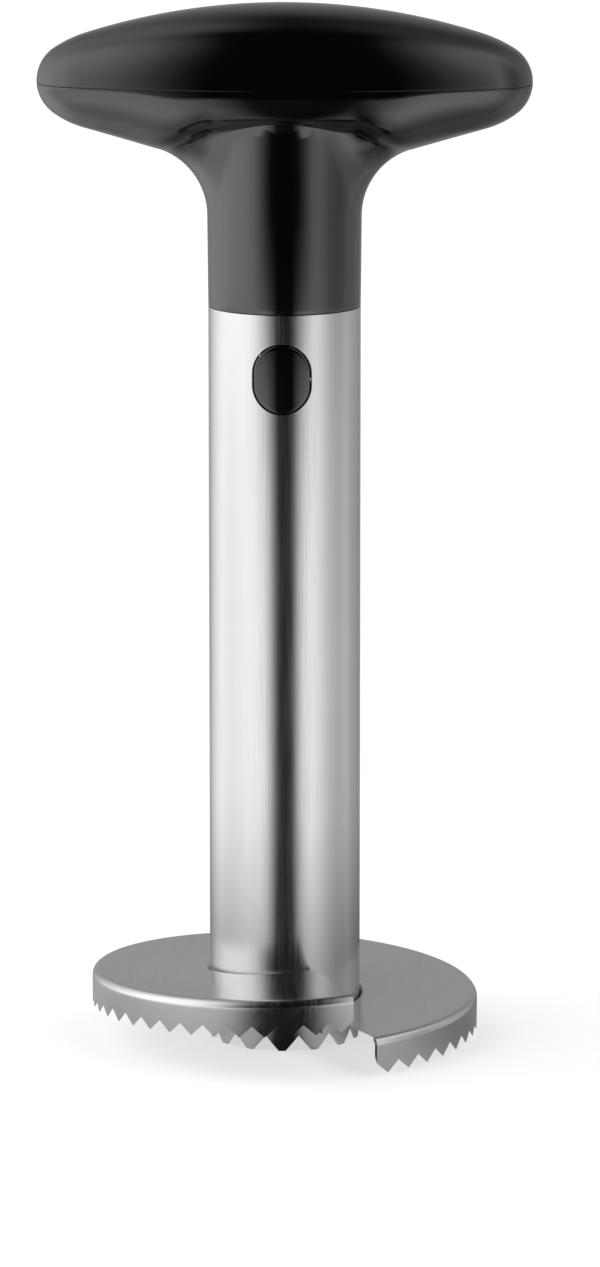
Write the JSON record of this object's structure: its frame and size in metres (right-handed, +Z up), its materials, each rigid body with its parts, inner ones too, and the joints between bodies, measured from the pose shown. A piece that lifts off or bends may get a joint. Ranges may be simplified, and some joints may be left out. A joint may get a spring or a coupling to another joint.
{
  "type": "pineapple slicer",
  "caption": "Hand slicer and corer: a toothed steel tube with a helical blade round its foot, under a black T-handle that lifts off when two oval buttons are pressed.",
  "frame": {"origin": "on the tube's axis, on the surface that the tube's teeth stand on", "axes": "+Z up along the tube, +X along the right arm of the handle, -Y the front with the front release button"},
  "size_m": [0.1132, 0.09, 0.2414],
  "materials": {
    "tube_steel": "drawn stainless tube, fine-brushed along its length to a soft shine",
    "blade_steel": "stamped stainless sheet with bright ground edges",
    "grip_plastic": "black moulded plastic, satin",
    "button_plastic": "black moulded plastic, smooth",
    "insert_plastic": "dark grey moulded plastic, matt",
    "screw_steel": "zinc-plated steel"
  },
  "bodies": {
    "cutter": {"core_tube": "tube_steel", "slicing_blade": "blade_steel"},
    "handle": {"grip_base": "grip_plastic", "grip_cover": "grip_plastic", "tube_insert": "insert_plastic", "insert_cap": "insert_plastic", "cover_screw_left": "screw_steel", "cover_screw_right": "screw_steel", "insert_screw_front": "screw_steel", "insert_screw_rear": "screw_steel"},
    "front_button": {"release_button_front": "button_plastic"},
    "rear_button": {"release_button_rear": "button_plastic"}
  },
  "joints": [
    {"name": "handle_lift", "type": "slide", "parent": "cutter", "child": "handle", "axis": [0, 0, 1], "range_m": [0, 0.06], "deforming": ["release_button_front", "release_button_rear"]},
    {"name": "front_button_press", "type": "hinge", "parent": "handle", "child": "front_button", "pos_m": [0, -0.01058, 0.18875], "axis": [1, 0, 0], "range_deg": [0, 5], "stiffness_Nm_per_rad": 3.1, "springref_deg": -1.15},
    {"name": "rear_button_press", "type": "hinge", "parent": "handle", "child": "rear_button", "pos_m": [0, 0.01058, 0.18875], "axis": [-1, 0, 0], "range_deg": [0, 5], "stiffness_Nm_per_rad": 3.1, "springref_deg": -1.15}
  ]
}
